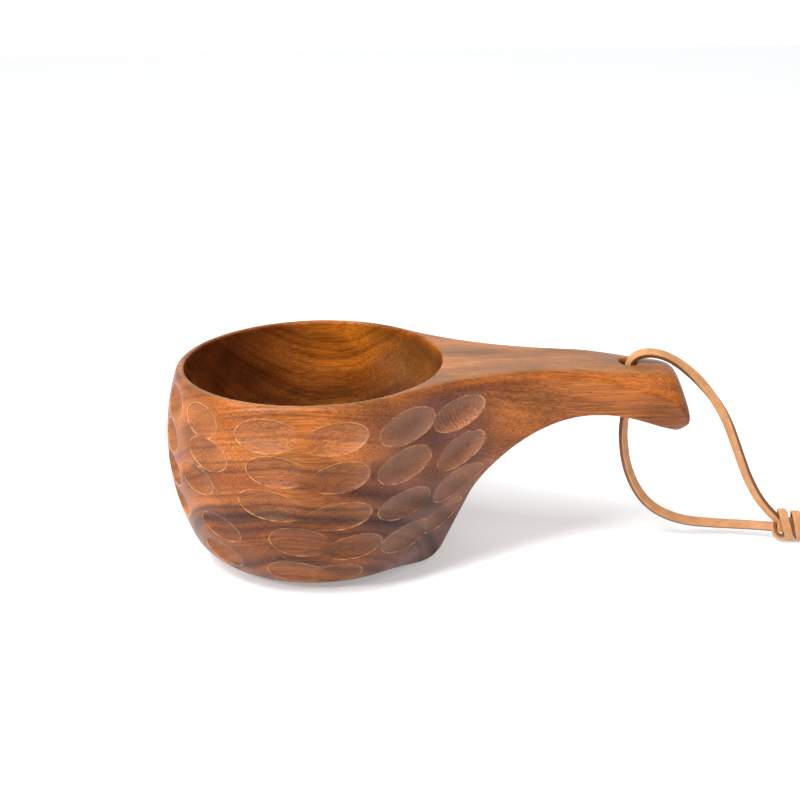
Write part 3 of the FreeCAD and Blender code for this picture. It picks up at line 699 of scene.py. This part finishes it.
UPPER_ROUTE = [
    (102.5, 0.0, 56.0), (102.5, 0.0, 62.6), (104.7, 0.0, 66.2), (110.6, 0.0, 67.2),
    (117.7, 0.0, 64.5), (126.8, 0.0, 56.6), (134.8, 0.0, 45.2), (139.4, 0.0, 33.0),
    (143.6, 0.0, 21.6), (149.4, -0.3, 11.8), (155.2, -0.8, 6.6),
]
LOWER_ROUTE = [
    (102.5, 0.0, 56.0), (102.4, 0.0, 49.0), (101.2, 0.0, 38.4), (103.4, 0.4, 24.6),
    (110.2, 1.5, 12.4), (121.4, 3.2, 5.9), (134.6, 4.2, 4.2), (146.8, 2.8, 4.1),
    (155.2, -0.2, 4.6),
]
LONG_TAIL = [(161.4, 0.6, 4.6), (166.6, 1.9, 3.2), (171.8, 2.6, 1.9), (177.6, 4.4, 1.5)]
SHORT_TAIL = [(161.4, -2.4, 4.4), (166.2, -4.0, 3.0), (170.8, -5.8, 1.8), (175.4, -8.4, 1.5)]
LACE_WIDTH, LACE_THICK = 3.0, 1.9
# How far each strand's grain side leans out of the loop: share of its length, degrees.
UPPER_TWIST = [(0.0, -72.0), (0.25, -62.0), (0.42, -15.0), (0.58, 34.0), (0.75, 44.0), (1.0, 46.0)]
LOWER_TWIST = [(0.0, 50.0), (0.3, 48.0), (0.6, 44.0), (1.0, 38.0)]
UPWARD = np.array([0.0, -0.5, 1.0])


def spline_points(name, route, cyclic=False):
    """Points along the smooth NURBS line that has the route as its control points."""
    data = bpy.data.curves.new(name, "CURVE")
    data.dimensions = "3D"
    data.resolution_u = 24
    spline = data.splines.new("NURBS")
    spline.points.add(len(route) - 1)
    for point, place in zip(spline.points, route):
        point.co = (*(c * MM for c in place), 1.0)
    spline.order_u = 3
    spline.use_cyclic_u = cyclic
    spline.use_endpoint_u = not cyclic
    holder = bpy.data.objects.new(name, data)
    mesh = bpy.data.meshes.new_from_object(holder)
    points = np.array([v.co[:] for v in mesh.vertices])
    bpy.data.objects.remove(holder)
    bpy.data.curves.remove(data)
    bpy.data.meshes.remove(mesh)
    keep = np.r_[True, np.linalg.norm(np.diff(points, axis=0), axis=1) > 1e-6]
    return points[keep]


def lace_section(width, thick, per_side=4, corner=0.35):
    """Rounded rectangle: the place of each point along the width and the thickness."""
    half_w, half_t = width / 2.0, thick / 2.0
    ring = []
    for sign_w, sign_t, start in ((1, 1, 0), (-1, 1, 90), (-1, -1, 180), (1, -1, 270)):
        for step in range(per_side + 1):
            angle = math.radians(start + 90.0 * step / per_side)
            ring.append((sign_w * (half_w - corner) + corner * math.cos(angle),
                         sign_t * (half_t - corner) + corner * math.sin(angle)))
    return np.array(ring)


def sweep_lace(name, points, facing, width=LACE_WIDTH, thick=LACE_THICK, closed=False):
    """Flat lace along a line. facing gives the grain side's direction at each point."""
    count = len(points)
    if closed:
        ahead = np.roll(points, -1, axis=0) - np.roll(points, 1, axis=0)
    else:
        ahead = np.gradient(points, axis=0)
    ahead /= np.linalg.norm(ahead, axis=1)[:, None]
    normal = facing - ahead * np.einsum("ij,ij->i", facing, ahead)[:, None]
    normal /= np.linalg.norm(normal, axis=1)[:, None]
    side = np.cross(ahead, normal)
    ring = lace_section(width, thick) * MM
    size = len(ring)
    rows = points[:, None, :] + ring[None, :, :1] * side[:, None, :]
    rows = rows + ring[None, :, 1:] * normal[:, None, :]
    vertices = rows.reshape(-1, 3)
    faces = []
    last = count if closed else count - 1
    for i in range(last):
        j = (i + 1) % count
        for k in range(size):
            m = (k + 1) % size
            faces.append((i * size + k, i * size + m, j * size + m, j * size + k))
    if not closed:
        faces.append(tuple(reversed(range(size))))
        faces.append(tuple((count - 1) * size + k for k in range(size)))
    piece = make_mesh(name, vertices, faces)
    flesh = 0.5 - ring[:, 1] / (thick * MM)
    add_attribute(piece, "flesh", np.tile(flesh, count))
    steps = np.linalg.norm(np.diff(points, axis=0), axis=1)
    run = np.r_[0.0, np.cumsum(steps)] / MM
    add_attribute(piece, "run", np.repeat(run, size))
    add_attribute(piece, "across", np.tile(ring[:, 0] / MM, count))
    return piece


def strand_facing(points, inward_sign, angles):
    """Grain direction of a strand: towards -Y, leaning in or out of the loop."""
    ahead = np.gradient(points, axis=0)
    ahead /= np.linalg.norm(ahead, axis=1)[:, None]
    back = np.array([0.0, 1.0, 0.0])
    inward = inward_sign * np.cross(back, ahead)
    inward /= np.linalg.norm(inward, axis=1)[:, None]
    run = np.r_[0.0, np.cumsum(np.linalg.norm(np.diff(points, axis=0), axis=1))]
    share = run / run[-1]
    lean = np.radians(np.interp(share, [a for a, _ in angles], [b for _, b in angles]))
    return -back * np.cos(lean)[:, None] + inward * np.sin(lean)[:, None]


def leather_material():
    material = bpy.data.materials.new("lace_leather")
    n = Nodes(material)
    flesh = n.attribute("flesh")
    run = n.attribute("run")
    across = n.attribute("across")
    place = n.scale(n.add("ShaderNodeTexCoord").outputs["Object"], (1000.0, 1000.0, 1000.0))
    fuzz = n.noise(place, 3.2, 4.0, 0.65)
    soft = n.noise(place, 0.35, 2.0)
    creases = n.noise(n.add("ShaderNodeCombineXYZ", {
        "X": n.math("MULTIPLY", run, 1.6), "Y": n.math("MULTIPLY", across, 0.5)}).outputs[0],
        1.0, 3.0)
    grain = n.mix(n.step(soft, 0.30, 0.70), srgb(186, 130, 82), srgb(200, 144, 94))
    grain = n.mix(n.math("MULTIPLY", n.step(creases, 0.62, 0.78), 0.18), grain, srgb(180, 118, 70))
    rough = n.mix(n.step(fuzz, 0.35, 0.65), srgb(100, 58, 30), srgb(146, 92, 52))
    edge = n.math("ADD", flesh, n.math("MULTIPLY", n.math("SUBTRACT", fuzz, 0.5), 0.25))
    colour = n.mix(n.step(edge, 0.12, 0.32), grain, rough)
    height = n.math("MULTIPLY", fuzz, n.step(flesh, 0.1, 0.7, 0.15, 1.0))
    bump = n.add("ShaderNodeBump", {"Height": height, "Strength": 0.5, "Distance": 0.0004})
    shader = n.add("ShaderNodeBsdfPrincipled", {
        "Base Color": colour, "Roughness": n.step(flesh, 0.3, 0.7, 0.52, 0.85),
        "Normal": bump.outputs[0]})
    n.add("ShaderNodeOutputMaterial", {"Surface": shader.outputs[0]})
    return material


# ---------------------------------------------------------------- knot

def wrap_band(name, centre, radius_y, radius_z, slant, width=2.9, phase=0.0):
    """One turn of the lace round the knot, leaning along X by slant from top to bottom."""
    angles = np.linspace(0.0, 2.0 * math.pi, 48, endpoint=False) + phase
    out = np.column_stack([np.zeros(48), np.cos(angles), np.sin(angles)])
    points = np.array(centre) + np.column_stack([
        -slant * np.sin(angles), radius_y * np.cos(angles), radius_z * np.sin(angles)])
    return sweep_lace(name, points * MM, out, width, 1.6, closed=True)


KNOT_CENTRE = (158.2, -0.8, 5.5)


def make_knot():
    """The tied end: two wraps, the bulge of the loop on the left and the strands inside."""
    cx, cy, cz = KNOT_CENTRE
    parts = [
        wrap_band("knot_wrap_front", (cx - 1.6, cy, cz + 0.4), 3.3, 4.8, 1.4),
        wrap_band("knot_wrap_back", (cx + 2.5, cy, cz), 3.2, 4.4, 0.9),
    ]
    bulge = spline_points("bulge_line", [
        (cx - 0.5, cy + 2.0, cz + 3.2), (cx - 3.8, cy + 2.2, cz + 2.6),
        (cx - 5.4, cy + 0.8, cz - 0.4), (cx - 5.0, cy - 1.8, cz - 2.8),
        (cx - 2.0, cy - 2.0, cz - 3.6), (cx + 1.5, cy - 1.0, cz - 2.4)])
    out = bulge - np.array([cx - 1.0, cy + 0.6, cz]) * MM
    parts.append(sweep_lace("knot_bulge", bulge, out, 2.6, 1.6))
    core = spline_points("core_line", [
        (cx - 4.4, cy, cz + 0.6), (cx - 1.0, cy + 0.3, cz + 0.2), (cx + 2.0, cy, cz - 0.2),
        (cx + 4.2, cy - 0.8, cz - 0.8)])
    parts.append(sweep_lace("knot_core", core, np.tile([0.0, -1.0, 0.4], (len(core), 1)), 5.2, 3.6))
    return parts


# ---------------------------------------------------------------- stage

def add_area(name, place, aim, size, power):
    data = bpy.data.lights.new(name, "AREA")
    data.shape = "RECTANGLE"
    data.size, data.size_y = size
    data.energy = power
    lamp = bpy.data.objects.new(name, data)
    lamp.location = place
    lamp.rotation_euler = (Vector(aim) - Vector(place)).to_track_quat("-Z", "Y").to_euler()
    bpy.context.scene.collection.objects.link(lamp)


FLOOR_HALF = 4.0
FLOOR_COLOUR, FLOOR_GLOW = (0.80, 0.81, 0.82, 1.0), 0.32
BACKDROP_PLACE, BACKDROP_HALF, BACKDROP_TOP = 1.1, 3.0, 2.0
BACKDROP_BRIGHTNESS, WORLD_BRIGHTNESS = 1.05, 0.24
WHITE = (1.0, 1.0, 1.0, 1.0)
# Soft lights: name, place, aim, width and height, power.
LIGHTS = [
    ("key", (-0.34, -0.36, 0.82), (0.0, 0.0, 0.04), (0.34, 0.34), 6.4),
    ("overhead", (-0.05, -0.16, 0.95), (0.02, 0.0, 0.04), (0.4, 0.3), 3.0),
    ("softbox", (-0.56, -0.50, 0.52), (0.0, 0.0, 0.05), (0.15, 0.15), 3.6),
    ("fill", (0.45, -0.35, 0.60), (0.05, 0.0, 0.04), (0.3, 0.3), 0.9),
]


def floor_material():
    """Matt white that glows a little, so that shadows stay pale."""
    material = bpy.data.materials.new("floor_white")
    n = Nodes(material)
    shader = n.add("ShaderNodeBsdfPrincipled", {"Base Color": FLOOR_COLOUR, "Roughness": 0.9})
    shader.inputs["Specular IOR Level"].default_value = 0.0
    shader.inputs["Emission Color"].default_value = WHITE
    shader.inputs["Emission Strength"].default_value = FLOOR_GLOW
    n.add("ShaderNodeOutputMaterial", {"Surface": shader.outputs[0]})
    return material


def backdrop_material():
    material = bpy.data.materials.new("backdrop_white")
    n = Nodes(material)
    glow = n.add("ShaderNodeEmission", {"Color": WHITE, "Strength": BACKDROP_BRIGHTNESS})
    n.add("ShaderNodeOutputMaterial", {"Surface": glow.outputs[0]})
    return material


def add_stage():
    """Floor, bright backdrop, pale surroundings and four soft lights."""
    half = FLOOR_HALF
    corners = [(-half, -half, 0), (half, -half, 0), (half, half, 0), (-half, half, 0)]
    floor = make_mesh("floor", np.array(corners, float), [(0, 1, 2, 3)], False)
    floor.data.materials.append(floor_material())
    half, back, top = BACKDROP_HALF, BACKDROP_PLACE, BACKDROP_TOP
    corners = [(-half, back, -0.01), (half, back, -0.01), (half, back, top), (-half, back, top)]
    backdrop = make_mesh("backdrop", np.array(corners), [(0, 1, 2, 3)], False)
    backdrop.data.materials.append(backdrop_material())

    world = bpy.data.worlds.new("world")
    world.use_nodes = True
    background = world.node_tree.nodes["Background"]
    background.inputs["Color"].default_value = WHITE
    background.inputs["Strength"].default_value = WORLD_BRIGHTNESS
    bpy.context.scene.world = world
    for name, place, aim, size, power in LIGHTS:
        add_area(name, place, aim, size, power)
    bpy.context.scene.view_settings.view_transform = "Standard"


# ---------------------------------------------------------------- assembly

add_camera()
leather = leather_material()

upper_line = spline_points("upper_line", UPPER_ROUTE)
lower_line = spline_points("lower_line", LOWER_ROUTE)
upper = sweep_lace("lace_upper", upper_line, strand_facing(upper_line, 1.0, UPPER_TWIST))
lower = sweep_lace("lace_lower", lower_line, strand_facing(lower_line, -1.0, LOWER_TWIST))
knot = make_knot()
long_line = spline_points("long_line", LONG_TAIL)
short_line = spline_points("short_line", SHORT_TAIL)
tail_long = sweep_lace("lace_tail_long", long_line, np.tile(UPWARD, (len(long_line), 1)))
tail_short = sweep_lace("lace_tail_short", short_line, np.tile(UPWARD, (len(short_line), 1)))

for piece in [upper, lower, tail_long, tail_short] + knot:
    piece.data.materials.append(leather)
    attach(piece, "thong")
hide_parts("thong_upper")
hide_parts("thong_lower")
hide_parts("thong_knot")
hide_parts("thong_tail_long")
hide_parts("thong_tail_short")


cup = make_cup()
cup.data.materials.append(wood_material())
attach(cup, "cup")
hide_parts("cup")

add_stage()
